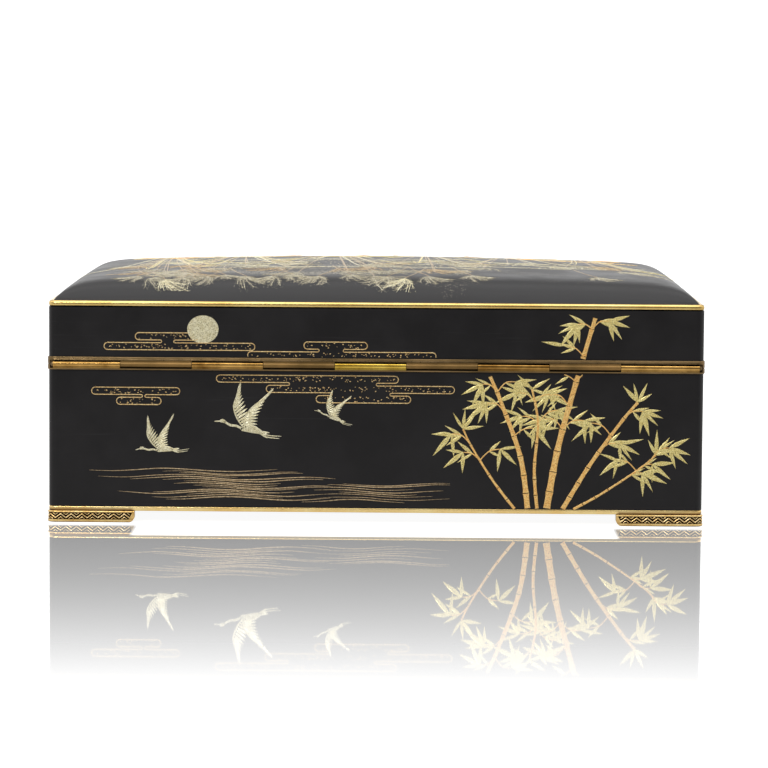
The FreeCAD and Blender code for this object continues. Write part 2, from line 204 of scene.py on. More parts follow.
def gold_dust(place):
    """Flakes strewn in ragged drifts along the hinge side of the dome, as a mask from 0 to 1."""
    x, y, _ = split(place)
    drifts = rescale(noise(place, (26.0, 110.0, 0.0), 5.0), 0.36, 0.58, 0.05, 0.54)
    ragged = math_node("ADD", y, rescale(noise(place, 70.0, 6.0), 0.36, 0.64, 0.0, 0.018))
    clear_of_ends = rescale(math_node("ABSOLUTE", x), 0.098, 0.080)
    above_rim = rescale(ragged, -0.059, -0.047)
    short_of_front = rescale(y, 0.024, 0.004)
    thinner_end = rescale(x, 0.004, 0.034, 1.0, 0.5)
    amount = product(drifts, clear_of_ends, above_rim, short_of_front, thinner_end)
    flakes = output(place.id_data, "TexVoronoi", {"Vector": place, "Scale": 1900.0})
    return rescale(math_node("SUBTRACT", amount, flakes), 0.0, 0.06)


def lacquer_with_flakes(place):
    """Amber lacquer with gold flakes in it: its colour, and the mask of the flakes."""
    tree = place.id_data
    flake = rescale(output(tree, "TexVoronoi", {"Vector": place, "Scale": 1800.0}), 0.30, 0.22)
    amber, _, _ = hand_finished(tree, 8.0, 0.3, (84, 44, 18), (112, 62, 24))
    return blend_colours(flake, amber, (226, 178, 92)), flake


def black_metal(name, dusted=False):
    """Blackened sheet. The dusted kind has gold dust outside and flaked lacquer underneath."""
    material, tree = new_finish(name, IOR=1.36)
    face, cloud, grain = hand_finished(tree, 14.0, 0.22, (18, 16, 17), (24, 22, 23), (30, 29, 30))
    if dusted:
        coordinates = add_node(tree, "TexCoord").outputs
        facing = split(coordinates["Normal"])[2]
        underside = rescale(facing, -0.1, -0.3)
        dust = product(gold_dust(coordinates["Object"]), rescale(facing, 0.1, 0.3))
        lacquer, flake = lacquer_with_flakes(coordinates["Object"])
        face = blend_colours(dust, face, (172, 165, 146))
        face = blend_colours(underside, face, lacquer)
        flecked = math_node("MAXIMUM", dust, product(underside, flake))
        dress(material, Metallic=flecked, Coat_Weight=product(underside, 0.8), Coat_Roughness=0.12)
    roughness = rescale(cloud, 0.0, 1.0, 0.34, 0.42)
    return dress(material, Base_Color=face, Roughness=roughness, Normal=relief_bump(grain, 0.006))


coat_nodes(black_metal("black_metal"), "body_walls", "lid_walls", "bottom_plate")
coat_nodes(black_metal("dusted_black_metal", dusted=True), "lid_panel")


# ---- Gilt rims, hinge and feet ---------------------------------------
# Every edge of the case is bound in brass, fire-gilt and burnished by hand. Fingers have worn the
# gilding on the hinge and on the rims at the seam, so the browner brass shows there. The gilding
# also carries painted shade: darker in its hollows and creases, where dirt also sits, and low on
# the base rim just above each foot.

def gilt_brass(
    name, bright, deep, roughness, patch_size, ground=None, bulge=None, shade_band=None, dent=0.03
):
    """Gilding from bright to deep in patches. A foot's ground, between two heights, is left black.

    A bulge is the height where the lowest rim starts, the height of one rim, and how far its face
    is rounded, all in mm. The shade band is the range of heights over the feet where the gilding
    is darkened as painted shade, low on the rim just above each foot, and a dent is how deep the
    hand-worked unevenness is.
    """
    material, tree = new_finish(name, Metallic=1.0)
    worn, _, grain = hand_finished(tree, patch_size, 0.3, deep, bright, bright)
    x, y, height = split(object_place(tree))
    # Painted shade, with dirt: dark brown in the hollows that ambient occlusion finds.
    shade_and_dirt_openness = add_node(tree, "AmbientOcclusion", {"Distance": 0.9 * mm}, samples=4).outputs["AO"]
    face = blend_colours(rescale(shade_and_dirt_openness, 0.3, 0.8), (48, 31, 15), worn)
    # Painted shade: the gilding darkens low on the rim just above each foot.
    if shade_band:
        painted_feet_shade = rescale(height, shade_band[1] * mm, shade_band[0] * mm, 0.0, 0.8)
        for axis, arm_end in ((x, 77.4), (y, 47.4)):
            aside = math_node("ABSOLUTE", axis)
            painted_feet_shade = product(painted_feet_shade, rescale(aside, arm_end * mm, (arm_end + 1) * mm))
        face = blend_colours(painted_feet_shade, face, (112, 74, 34))
    if ground:
        low, high = ground
        edge, slant = 0.04, 0.51
        under = rescale(height, (low + edge) * mm, low * mm)
        gilt = math_node("MAXIMUM", under, rescale(height, (high - edge) * mm, high * mm))
        for axis, arm_end in ((x, 79.7), (y, 49.7)):
            slanted = math_node("ADD", math_node("ABSOLUTE", axis), product(height, slant))
            gilt = math_node("MAXIMUM", gilt, rescale(slanted, arm_end * mm, (arm_end - edge) * mm))
        face = blend_colours(gilt, (20, 10, 5), face)
        dress(material, Metallic=gilt, Specular_IOR_Level=gilt)
    rounding = None
    if bulge:
        first, pitch, depth = bulge
        rims = rescale(height, first * mm, (first + 10 * pitch) * mm, 0.0, 10.0)
        off_middle = math_node("SUBTRACT", math_node("FRACT", rims), 0.5)
        rounding = relief_bump(product(off_middle, product(off_middle, -4.0)), depth)
    dents = relief_bump(use_hand_finish(tree, 3.2, 0.3)[0], dent, 1.0, rounding)
    return dress(
        material,
        Base_Color=face,
        Roughness=rescale(grain, 0.3, 0.7, roughness, roughness + 0.1),
        Normal=relief_bump(grain, 0.012, 0.5, dents),
    )


crown_bulge, seam_bulge = {"bulge": (69.35, 2.05, 0.2)}, {"bulge": (49.2, 1.8, 0.12)}
for pieces, name, bright, deep, roughness, patch_size, shaping in (
    # The base rim is darkened as painted shade just above the feet.
    ("base_rim", "base", (255, 232, 168), (244, 206, 132), 0.18, 16.0, {"shade_band": (4.2, 4.9)}),
    ("crown_rim", "crown", (234, 204, 132), (200, 164, 92), 0.20, 16.0, crown_bulge),
    ("*_mouth_rim hinge_pin", "worn", (148, 122, 84), (98, 80, 52), 0.26, 26.0, seam_bulge),
    ("lid_knuckle_*", "lid_knuckle", (150, 118, 72), (106, 84, 50), 0.42, 22.0, {"dent": 0.01}),
    ("body_knuckle_*", "body_knuckle", (208, 164, 92), (136, 98, 44), 0.11, 9.0, {"dent": 0.01}),
    ("body_knuckle_3", "centre", (230, 198, 92), (184, 148, 56), 0.14, 9.0, {"dent": 0.01}),
    ("foot_*", "foot", (255, 224, 158), (226, 184, 112), 0.2, 5.0, {"ground": (0.92, 3.18)}),
):
    gilding = gilt_brass(f"{name}_gilding", bright, deep, roughness, patch_size, **shaping)
    coat_nodes(gilding, *pieces.split())


# ---- Chasing on the feet ---------------------------------------------
# Round the outside of each foot a zigzag wire is laid in the sunk panel between the beads, with a
# small chevron nested in each of its bends, and the ground behind is patinated black.

def new_tree(name, inputs):
    """An empty geometry tree and its named inputs, each given by a value or a kind of data."""
    tree = bpy.data.node_groups.new(name, "GeometryNodeTree")
    for way in ("INPUT", "OUTPUT"):
        tree.interface.new_socket("Geometry", in_out=way, socket_type="NodeSocketGeometry")
    for label, value in inputs.items():
        kind = {int: "Int", float: "Float"}.get(type(value), value)
        socket = tree.interface.new_socket(label, in_out="INPUT", socket_type=f"NodeSocket{kind}")
        if kind != value:
            socket.default_value = value
    return tree, add_node(tree, "NodeGroupInput").outputs


def close_tree(tree, geometry, finish):
    """Ends a geometry tree: real meshes, then their finish."""
    real = output(tree, "RealizeInstances", {"Geometry": geometry})
    finished = output(tree, "SetMaterial", {"Geometry": real, "Material": finish})
    add_node(tree, "NodeGroupOutput", {"Geometry": finished})
    return tree


def sweep(curve, sides, radius, **others):
    """A closed wire of so many sides along a curve."""
    ring = output(curve.id_data, "CurvePrimitiveCircle", {"Resolution": sides, "Radius": radius})
    inputs = {"Curve": curve, "Profile Curve": ring, "Fill Caps": True, **others}
    return output(curve.id_data, "CurveToMesh", inputs)


def new_mesh(name, points, edges=(), faces=()):
    mesh = bpy.data.meshes.new(name)
    mesh.from_pydata(points, edges, faces)
    return mesh


def new_object(name, data):
    made = bpy.data.objects.new(name, data)
    bpy.context.scene.collection.objects.link(made)
    return made


def grow(name, base, tree, values):
    """The base mesh put through a geometry tree and left as a plain mesh on a new object."""
    piece = new_object(name, base)
    modifier = piece.modifiers.new("grow", "NODES")
    modifier.node_group = tree
    for socket in tree.interface.items_tree:
        if socket.in_out == "INPUT" and socket.name in values:
            modifier[socket.identifier] = values[socket.name]
    evaluated = piece.evaluated_get(bpy.context.evaluated_depsgraph_get())
    grown = bpy.data.meshes.new_from_object(evaluated)
    piece.modifiers.remove(modifier)
    piece.data = grown
    return piece


def zigzag_tree():
    """A zigzag wire along a line, and the same moved up and down and kept only in the panel."""
    sizes = {"Swing": 0.64, "Wire Radius": 0.24, "Chevron Radius": 0.15, "Chevron Shift": 1.0}
    sizes |= {"Panel Low": 1.0, "Panel High": 3.08}
    in_metres = {label: size * mm for label, size in sizes.items()}
    inputs = {"Periods": 15, "Steps": 16, **in_metres, "Finish": "Material"}
    tree, given = new_tree("chased_zigzag", inputs)
    line = output(tree, "MeshToCurve", {"Mesh": given["Geometry"]})
    count = math_node("ADD", product(given["Periods"], given["Steps"]), 1)
    line = output(tree, "ResampleCurve", {"Curve": line, "Count": count})
    along = math_node("DIVIDE", output(tree, "InputIndex"), given["Steps"])
    wave = math_node("PINGPONG", along, 0.5)
    swung = product(math_node("SUBTRACT", product(wave, 4.0), 1.0), given["Swing"])
    joined = add_node(tree, "JoinGeometry")
    for shift, radius in ((0.0, "Wire Radius"), (1.0, "Chevron Radius"), (-1.0, "Chevron Radius")):
        moved = math_node("ADD", swung, product(given["Chevron Shift"], shift))
        offset = output(tree, "ShaderNodeCombineXYZ", {"Z": moved})
        bent = output(tree, "SetPosition", {"Geometry": line, "Offset": offset})
        height = split(output(tree, "InputPosition"))[2]
        too_high = math_node("GREATER_THAN", height, given["Panel High"])
        outside = math_node("MAXIMUM", too_high, math_node("LESS_THAN", height, given["Panel Low"]))
        edges = output(tree, "CurveToMesh", {"Curve": bent})
        kept = output(tree, "DeleteGeometry", {"Geometry": edges, "Selection": outside})
        fill(joined.inputs[0], sweep(output(tree, "MeshToCurve", {"Mesh": kept}), 6, given[radius]))
    return close_tree(tree, joined.outputs[0], given["Finish"])


def on_arc(centre, radius, angle):
    turn = math.radians(angle)
    return centre[0] + radius * math.cos(turn), centre[1] + radius * math.sin(turn)


def foot_line(side, end):
    """The middle line of one foot's sunk panel, from the end of one arm round to the other."""
    reach_x, reach_y, radius = 105.1, 75.1, 2.6
    arm_x, arm_y, height = 78.9, 48.9, 2.05
    corner, corner_steps = (reach_x - radius, reach_y - radius), 12
    line = [(arm_x, reach_y)]
    for step in range(corner_steps + 1):
        line.append(on_arc(corner, radius, 90 - 90 * step / corner_steps))
    line.append((reach_x, arm_y))
    points = [(side * x * mm, end * y * mm, height * mm) for x, y in line]
    return new_mesh("foot_line", points, [(i, i + 1) for i in range(len(points) - 1)])


chasing_gilding = gilt_brass("chasing_gilding", (252, 224, 166), (226, 188, 120), 0.22, 2.0)
chasing_tree = zigzag_tree()
for side, side_name in ((-1, "left"), (1, "right")):
    for end, end_name in ((-1, "back"), (1, "front")):
        name, line = f"foot_chasing_{end_name}_{side_name}", foot_line(side, end)
        chasing = grow(name, line, chasing_tree, {"Finish": chasing_gilding})
        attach(chasing, "body")


# ---- Inlay -----------------------------------------------------------
# Gold and silver foil is hammered onto the cut ground of the blackened metal and burnished, so
# every leaf and line stands a hair's breadth above it, and its edges are sunk in it.

def inlay_foil(name, bright, deep, speckle, patch_size=1.1):
    """Foil over a hatched ground: bright and deep patches, speckled where the ground shows."""
    material, tree = new_finish(name, Metallic=0.35)
    patchy, cloud, grain = hand_finished(tree, patch_size, 0.28, deep, bright)
    return dress(
        material,
        Base_Color=blend_colours(rescale(grain, 0.60, 0.52), speckle, patchy),
        Roughness=rescale(cloud, 0.0, 1.0, 0.42, 0.30),
        Normal=relief_bump(grain, 0.02, 0.6),
    )


foils = {
    name: inlay_foil(name, *look)
    for name, *look in (
        ("warm_gold", (255, 218, 140), (246, 192, 108), (206, 146, 72)),
        ("green_gold", (248, 234, 164), (224, 204, 124), (150, 130, 66), 0.8),
        ("silver_gold", (244, 238, 206), (220, 210, 168), (160, 146, 104)),
        ("plume_silver", (212, 204, 180), (172, 162, 132), (104, 96, 72)),
        ("pale_gold", (250, 220, 158), (224, 186, 122), (160, 126, 76)),
        ("bronze", (214, 188, 146), (172, 146, 106), (116, 94, 64)),
        ("red_gold", (244, 182, 124), (214, 140, 90), (150, 88, 54)),
    )
}
sink, least_width, widest_bevel, tallest_row = 0.02, 0.06, 0.12, 4.0
case_half_width, case_half_depth = 105.0, 75.0
wall_bands, lid_band = {"body": (5.35, 48.8), "lid": (53.8, 68.9)}, {"lid": (-71.0, 71.0)}
lid_top_limit = cad_box[1][2] - sink * mm


def wall_place(x, y, reach):
    """Turns (u, v, height) in mm on the upright wall facing (x, y) into a place in the frame."""
    out, up = Vector((x, y, 0)), Vector((0, 0, 1))
    origin, across = out * reach, up.cross(out)
    return lambda u, v, height: (origin + across * u + up * v + out * height) * mm


back_wall, front_wall = (wall_place(0, y, case_half_depth) for y in (-1, 1))
left_wall, right_wall = (wall_place(x, 0, case_half_width) for x in (-1, 1))


def skin_of(mesh):
    """The surface of a mesh, to cast rays on."""
    faces = [face.vertices for face in mesh.polygons]
    return BVHTree.FromPolygons([vertex.co for vertex in mesh.vertices], faces)


dome_skin = skin_of(nodes["lid_panel"].data)


def dome_place(u, v, height):
    """Turns (u, v, height) in mm on the dome, seen from the side that opens, into a place."""
    well_above, down = 0.2, Vector((0, 0, -1))
    spot, normal, _, _ = dome_skin.ray_cast(Vector((-u * mm, -v * mm, well_above)), down)
    raised = spot + normal * height * mm
    raised.z = min(raised.z, lid_top_limit)
    return raised


def smooth_path(points, steps=8):
    """Points on one smooth curve through the given ones, closely spaced."""
    ends = [points[0]] + list(points) + [points[-1]]
    path = []
    for index in range(len(points) - 1):
        bends = [
            (2 * b, c - a, 2 * a - 5 * b + 4 * c - d, 3 * b - a - 3 * c + d)
            for a, b, c, d in zip(*ends[index : index + 4])
        ]
        for step in range(steps):
            t = step / steps
            point = (0.5 * (k0 + k1 * t + k2 * t**2 + k3 * t**3) for k0, k1, k2, k3 in bends)
            path.append(tuple(point))
    return path + [tuple(points[-1])]


def between(start, end, share):
    """The point at a share of the way from start to end."""
    return tuple(a + (b - a) * share for a, b in zip(start, end))


def tube_faces(first, end, ring):
    """The faces of a closed tube of rings of points, from the first point up to the end."""
    faces = []
    for start in range(first, end - ring, ring):
        for this in range(ring):
            after = (this + 1) % ring
            faces.append((start + this, start + after, start + ring + after, start + ring + this))
    return faces + [tuple(range(first, first + ring))[::-1], tuple(range(end - ring, end))]


def lay_strip(sheet, place, path, height):
    """Adds a closed strip along (u, v, width): a raised middle and bevelled, sunk edges."""
    points, faces = sheet
    first = len(points)
    for index, (u, v, width) in enumerate(path):
        before, after = path[max(index - 1, 0)], path[min(index + 1, len(path) - 1)]
        du, dv = after[0] - before[0], after[1] - before[1]
        length = math.hypot(du, dv) or 1.0
        half = max(width, least_width) / 2
        flat = half - min(half * 0.5, widest_bevel)
        for across, lift in ((half, -sink), (flat, height), (-flat, height), (-half, -sink)):
            points.append(place(u - dv / length * across, v + du / length * across, lift))
    faces += tube_faces(first, len(points), 4)


def flat_shape(name, rows):
    """A closed shape of unit length, in rows of (along, half width, shoulder, middle height)."""
    points, shares = [], (1, 0.5, 0, -0.5, -1)
    for along, half, shoulder, middle in rows:
        heights = (-1.0, shoulder, middle, shoulder, -1.0)
        points += [(along, half * across, high) for across, high in zip(shares, heights)]
    return new_object(name, new_mesh(name, points, (), tube_faces(0, len(points), 5)))


def leaf_shape(name, outline, rise, steps):
    """A leaf, petal or feather with a groove. The outline is its half width from base to tip."""
    rows = []
    for index in range(steps + 1):
        along = index / steps
        low = min(int(along * (len(outline) - 1)), len(outline) - 2)
        half = outline[low] + (outline[low + 1] - outline[low]) * (along * (len(outline) - 1) - low)
        crest = rise * (0.4 + 0.6 * math.sin(math.pi * along))
        rows.append((along, half, crest, crest * 0.5))
    return flat_shape(name, rows)


disc_steps = 24
disc_turns = [math.pi * step / disc_steps for step in range(disc_steps + 1)]
disc_rows = [
    (0.5 - 0.5 * math.cos(turn), max(0.5 * math.sin(turn), 0.02), 4.0, 4.0) for turn in disc_turns
]
flake_rows = [(-0.5, 0.18, 2.0, 2.0), (0.0, 0.5, 3.0, 3.0), (0.5, 0.14, 2.0, 2.0)]
shapes = {
    "leaf": leaf_shape("leaf", (0.06, 0.34, 0.5, 0.46, 0.34, 0.18, 0.02), 4.0, 8),
    "feather": leaf_shape("feather", (0.22, 0.42, 0.5, 0.5, 0.44, 0.28, 0.04), 4.0, 6),
    "hair": leaf_shape("hair", (0.5, 0.08), 3.0, 1),
    "petal": leaf_shape("petal", (0.12, 0.27, 0.4, 0.48, 0.48, 0.26), 4.0, 5),
    "disc": flat_shape("disc", disc_rows),
    "flake": flat_shape("flake", flake_rows),
}


def setting_tree():
    """Sets a copy of a shape on every point, turned and sized by the point's own attributes."""
    tree, given = new_tree("set_shapes", {"Shape": "Object", "Finish": "Material"})

    def of_point(name):
        node = add_node(tree, "InputNamedAttribute", {"Name": name}, data_type="FLOAT_VECTOR")
        return node.outputs["Attribute"]

    copies = {
        "Points": given["Geometry"],
        "Instance": add_node(tree, "ObjectInfo", {"Object": given["Shape"]}).outputs["Geometry"],
        "Rotation": output(tree, "FunctionNodeEulerToRotation", {"Euler": of_point("turn")}),
        "Scale": of_point("size"),
    }
    return close_tree(tree, output(tree, "InstanceOnPoints", copies), given["Finish"])


set_shapes = setting_tree()


class Inlay:
    """One picture on one face of the case, gathered as strips and set shapes, and then made."""

    def __init__(self, name, place, bands, seed):
        self.name, self.place, self.bands = name, place, bands
        self.draw = random.Random(seed)
        self.strips, self.spots = {}, {}

    def strip(self, foil, path, height=0.07):
        """A strip along (u, v, width), cut where it leaves the bands of the bodies it lies on."""
        for body, (low, high) in self.bands.items():
            run = []
            for point in path + [None]:
                if point and low <= point[1] <= high:
                    run.append(point)
                    continue
                if len(run) > 1:
                    sheet = self.strips.setdefault((body, foil), ([], []))
                    lay_strip(sheet, self.place, run, height)
                run = []

    def line(self, foil, points, width, ends=(0.15, 0.15), height=0.07, steps=8):
        """A drawn line that swells to its width and thins at its two ends to these shares of it."""
        path = smooth_path(points, steps)
        widened = []
        for index, (u, v) in enumerate(path):
            share = index / (len(path) - 1)
            least = ends[0] + (ends[1] - ends[0]) * share
            widened.append((u, v, width * (least + (1 - least) * math.sin(math.pi * share) ** 0.6)))
        self.strip(foil, widened, height)

    def shape(self, shape, foil, start, angle, length, width, layer=1.0):
        """A shape from its start along an angle in degrees, if one of the bands holds it whole."""
        end = on_arc(start, length, angle)
        spot = (start, end, width, sink * layer * self.draw.uniform(0.85, 1.35))
        for body, (low, high) in self.bands.items():
            if low <= min(start[1], end[1]) and max(start[1], end[1]) <= high:
                self.spots.setdefault((body, shape, foil), []).append(spot)

    def disc(self, foil, centre, size, layer=1.0):
        self.shape("disc", foil, (centre[0] - size / 2, centre[1]), 0, size, size, layer)

    def make(self):
        """Makes one piece for each body and foil, and one for each body, shape and foil."""
        for (body, foil), (points, faces) in self.strips.items():
            mesh = new_mesh("strips", points, (), faces)
            mesh.materials.append(foils[foil])
            self.keep(new_object(f"{self.name}_{foil}_lines_on_{body}", mesh), body)
        for (body, shape, foil), spots in self.spots.items():
            base = new_mesh("spots", [self.place(*start, 0) for start, *_ in spots])
            turns, sizes, nudge, least_room = [], [], 0.4, 0.001
            for (u, v), end, width, thickness in spots:
                spot = self.place(u, v, 0)
                across, up = self.place(u + nudge, v, 0), self.place(u, v + nudge, 0)
                along = self.place(*end, 0) - spot
                out = (across - spot).cross(up - spot).normalized()
                side = out.cross(along).normalized()
                axes = (along.normalized(), side, along.cross(side).normalized())
                turns += Matrix(axes).transposed().to_euler()
                room = max((lid_top_limit - spot.z) / mm / tallest_row, least_room)
                sizes += [along.length, width * mm, min(thickness, room) * mm]
            for label, values in (("turn", turns), ("size", sizes)):
                attribute = base.attributes.new(label, "FLOAT_VECTOR", "POINT")
                attribute.data.foreach_set("vector", values)
            name = f"{self.name}_{foil}_{shape}s_on_{body}"
            choices = {"Shape": shapes[shape], "Finish": foils[foil]}
            self.keep(grow(name, base, set_shapes, choices), body)

    def keep(self, piece, body):
        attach(piece, body)


# ---- Bamboo on the back ----------------------------------------------
# A bamboo clump stands at the right of the back: jointed culms in warm gold, with fans of leaves in
# green gold, and one culm that goes on over the lid's wall.

def leaf_fan(inlay, base, angle, count, spread, length):
    """Leaves spread about one direction from a point; the middle ones are the longest."""
    for index in range(count):
        share = index / max(count - 1, 1) - 0.5
        long = length * (1.08 - 0.35 * abs(share)) * inlay.draw.uniform(0.82, 1.15)
        turn = angle + spread * share + inlay.draw.uniform(-7, 7)
        inlay.shape("leaf", "green_gold", base, turn, long, long * inlay.draw.uniform(0.17, 0.23))


def bamboo_twig(inlay, base, side, reach):
    """A twig that rises from a joint and bends over, with fans of leaves along it."""
    draw = inlay.draw
    lift = reach * draw.uniform(0.45, 0.85)
    middle = (base[0] + side * reach * 0.5, base[1] + lift * 0.75)
    tip = (base[0] + side * reach * 1.1, base[1] + lift * draw.uniform(0.75, 1.1))
    inlay.line("warm_gold", [base, middle, tip], 0.42, (0.9, 0.4))
    droop = -38 if side > 0 else 218
    leaf_fan(inlay, tip, droop + draw.uniform(-14, 14), draw.choice((3, 4, 5)), 96, 7.6)
    leaf_fan(inlay, middle, droop + side * draw.uniform(20, 60), draw.choice((2, 3)), 64, 6.2)


def bamboo_culm(inlay, points, width, joint, leafy):
    """One culm of jointed lengths, with twigs from the joints past the leafy share of it."""
    path = smooth_path(points, 24)
    reached = [0.0]
    for before, after in zip(path, path[1:]):
        reached.append(reached[-1] + math.dist(before, after))

    def at(distance):
        index = next((i for i in range(1, len(path)) if reached[i] >= distance), len(path) - 1)
        share = (distance - reached[index - 1]) / (reached[index] - reached[index - 1])
        return between(path[index - 1], path[index], share)

    start, side, gap, steps = 0.0, 1, 0.12, 12
    while start < reached[-1] - 1.0:
        share = start / reached[-1]
        end = min(start + joint * (0.8 + 0.5 * share), reached[-1])
        thick = width * (1 - 0.45 * share)
        length = []
        for step in range(steps + 1):
            spot = at(start + gap + (end - start - 2 * gap) * step / steps)
            swell = 0.94 + 0.2 * abs(2 * step / steps - 1) ** 4
            length.append((*spot, thick * swell))
        inlay.strip("warm_gold", length, 0.1)
        if share > leafy and end < reached[-1]:
            bamboo_twig(inlay, at(end), side, 7.0 - 2.5 * share)
            if inlay.draw.random() < 0.45:
                bamboo_twig(inlay, at(end), -side, 6.0 - 2.5 * share)
            side = -side
        start = end
    leaf_fan(inlay, path[-1], 75 + inlay.draw.uniform(-12, 12), 4, 105, 7.0)


bamboo = Inlay("bamboo", back_wall, wall_bands, 7)
for points, width, joint, leafy in (
    ([(55, 5), (58.5, 25), (64, 46), (70, 67)], 2.3, 7.6, 0.30),
    ([(49, 5), (46.5, 22), (40, 40), (36.5, 48)], 1.9, 6.8, 0.34),
    ([(60, 5), (69, 20), (79, 34), (84, 40)], 1.6, 6.2, 0.36),
    ([(52, 5), (51, 18), (52, 33), (50, 44)], 1.2, 6.0, 0.42),
    ([(45, 5), (38, 14), (31, 25), (28, 31)], 1.0, 5.4, 0.40),
    ([(63, 5), (72, 10), (84, 18), (90, 23)], 0.9, 5.2, 0.36),
):
    bamboo_culm(bamboo, points, width, joint, leafy)
bamboo.make()


# ---- Cranes, stream, moon and mist on the back -----------------------
# Three cranes fly over the broken lines of a stream, all in silvery gold and bronze. Banks of mist
# in fine gold line, sprinkled with gold dust, lie along the seam, and one half hides a full moon.

def flying_crane(inlay, centre, size, heading):
    """A crane on the wing, drawn heading to the left and turned by the heading in degrees."""
    turn = math.radians(heading)

    def put(x, y):
        across = centre[0] + size * (x * math.cos(turn) - y * math.sin(turn))
        return across, centre[1] + size * (x * math.sin(turn) + y * math.cos(turn))

    for points, width, ends in (
        ([(1.6, 0.0), (-0.6, 0.5), (-3.2, 0.6), (-5.0, 0.2)], 2.2, (0.1, 0.35)),
        ([(-4.6, 0.3), (-6.6, 0.9), (-8.4, 0.9), (-10.4, 1.7)], 0.75, (1.0, 0.8)),
        ([(-10.1, 1.6), (-10.9, 1.85), (-11.7, 1.7)], 1.15, (0.5, 0.5)),
        ([(-11.5, 1.7), (-13.4, 1.35)], 0.42, (1.0, 0.2)),
        ([(0.8, 0.0), (4.0, -0.5), (7.6, -0.2)], 0.34, (0.8, 0.3)),
        ([(0.6, -0.3), (3.6, -1.1), (7.0, -1.0)], 0.34, (0.8, 0.3)),
    ):
        inlay.line("silver_gold", [put(*point) for point in points], width * size, ends)
    near_wing = [(-3.6, 0.8), (-4.4, 3.4), (-2.6, 7.2), (1.0, 10.8)]
    far_wing = [(-4.2, 0.6), (-6.6, 3.2), (-8.2, 6.8), (-7.6, 10.6)]
    for wing, first, last in ((near_wing, -6, 58), (far_wing, 24, 84)):
        inlay.line("silver_gold", [put(*point) for point in wing], 0.55 * size, (0.7, 0.4))
        edge = smooth_path(wing, 5)[1:]
        for index, point in enumerate(edge):
            share = index / (len(edge) - 1)
            angle, long = first + (last - first) * share + heading, 4.4 - 1.2 * abs(share - 0.55)
            inlay.shape("feather", "silver_gold", put(*point), angle, size * long, size * 0.78)
    tail = put(0.6, 0.1)
    for angle in (-28, -12, 4):
        inlay.shape("feather", "silver_gold", tail, angle + heading, size * 3.2, size * 0.8)


def stream(inlay, left, right, low, high, count, width):
    """Long level lines that rise and fall together, each with its own start and end."""
    draw, swing, steps = inlay.draw, 0.5, 8
    for index in range(count):
        v = low + (high - low) * (index + draw.uniform(-0.25, 0.25)) / max(count - 1, 1)
        middle = left + (right - left) * draw.uniform(0.3, 0.7)
        half = (right - left) * draw.uniform(0.18, 0.46)
        start, end = max(left, middle - half), min(right, middle + half)
        points = []
        for step in range(steps + 1):
            u = start + (end - start) * step / steps
            rise = swing * math.sin(u * 0.16 + v * 0.35)
            points.append((u, v + rise + draw.uniform(-0.08, 0.08)))
        inlay.line("bronze", points, width * draw.uniform(0.7, 1.2), (0.15, 0.15), 0.05, 4)


def mist_bank(inlay, top, rows, foil="pale_gold", density=1.6, lobe=1.15, notch=0.45):
    """A bank of mist drawn in outline: rows of (left, right) from the top down, with round ends."""
    draw, clear, bite = inlay.draw, 0.35, (2.5, 7.0)
    left_side, right_side = [], []

    def add_half_turns(left, right, v, radius, steps, way):
        """Half turns at both ends, down from v: outwards where the way is 1, inwards where -1."""
        for step in range(steps + 1):
            turn = way * 180 * step / steps
            right_side.append(on_arc((right, v - radius), radius, 90 - turn))
            left_side.append(on_arc((left, v - radius), radius, 90 + turn))

    v = top
    for index, (left, right) in enumerate(rows):
        add_half_turns(left, right, v, lobe, 8, 1)
        for _ in range(int((right - left) * density)):
            spot = (draw.uniform(left, right), v - draw.uniform(clear, 2 * lobe - clear))
            size = draw.uniform(0.25, 0.55)
            inlay.shape("flake", foil, spot, draw.uniform(-60, 60), size, size * 0.8)
        v -= 2 * lobe
        if index + 1 < len(rows):
            inner_right = min(right, rows[index + 1][1]) - draw.uniform(*bite)
            inner_left = max(left, rows[index + 1][0]) + draw.uniform(*bite)
            add_half_turns(inner_left, inner_right, v, notch, 4, -1)
            v -= 2 * notch
    outline = right_side + left_side[::-1] + right_side[:1]
    path, spacing, width = [], 1.5, 0.32
    for before, after in zip(outline, outline[1:]):
        count = max(1, round(math.dist(before, after) / spacing))
        path += [between(before, after, step / count) for step in range(count)]
    inlay.strip(foil, [(u, v, width) for u, v in path + outline[-1:]], 0.06)


cranes = Inlay("cranes", back_wall, wall_bands, 21)
for u, v, size, heading in ((-38, 29.5, 1.05, -8), (-66, 23.5, 0.82, 6), (-12, 33.5, 0.62, -16)):
    flying_crane(cranes, (u, v), size, heading)
stream(cranes, -92, -8, 8.0, 17.0, 15, 0.34)
stream(cranes, -30, 24, 7.6, 13.0, 8, 0.32)
cranes.make()

mist = Inlay("mist", back_wall, wall_bands, 33)
mist.disc("silver_gold", (-55.5, 62.4), 10)
mist_bank(mist, 61.2, [(-76, -58), (-86, -40)])
mist_bank(mist, 58.6, [(-22, -4), (-40, 18)])
mist_bank(mist, 47.8, [(-50, 6), (-34, 24), (-18, 10)])
mist_bank(mist, 43.6, [(-90, -64), (-82, -70)])
mist.make()


# ---- Autumn grasses on the lid ---------------------------------------
# The dome shows, upright to whoever opens the box, plumed grasses and chrysanthemums in silvery and
# green gold that lean over banks of mist thick with gold dust.

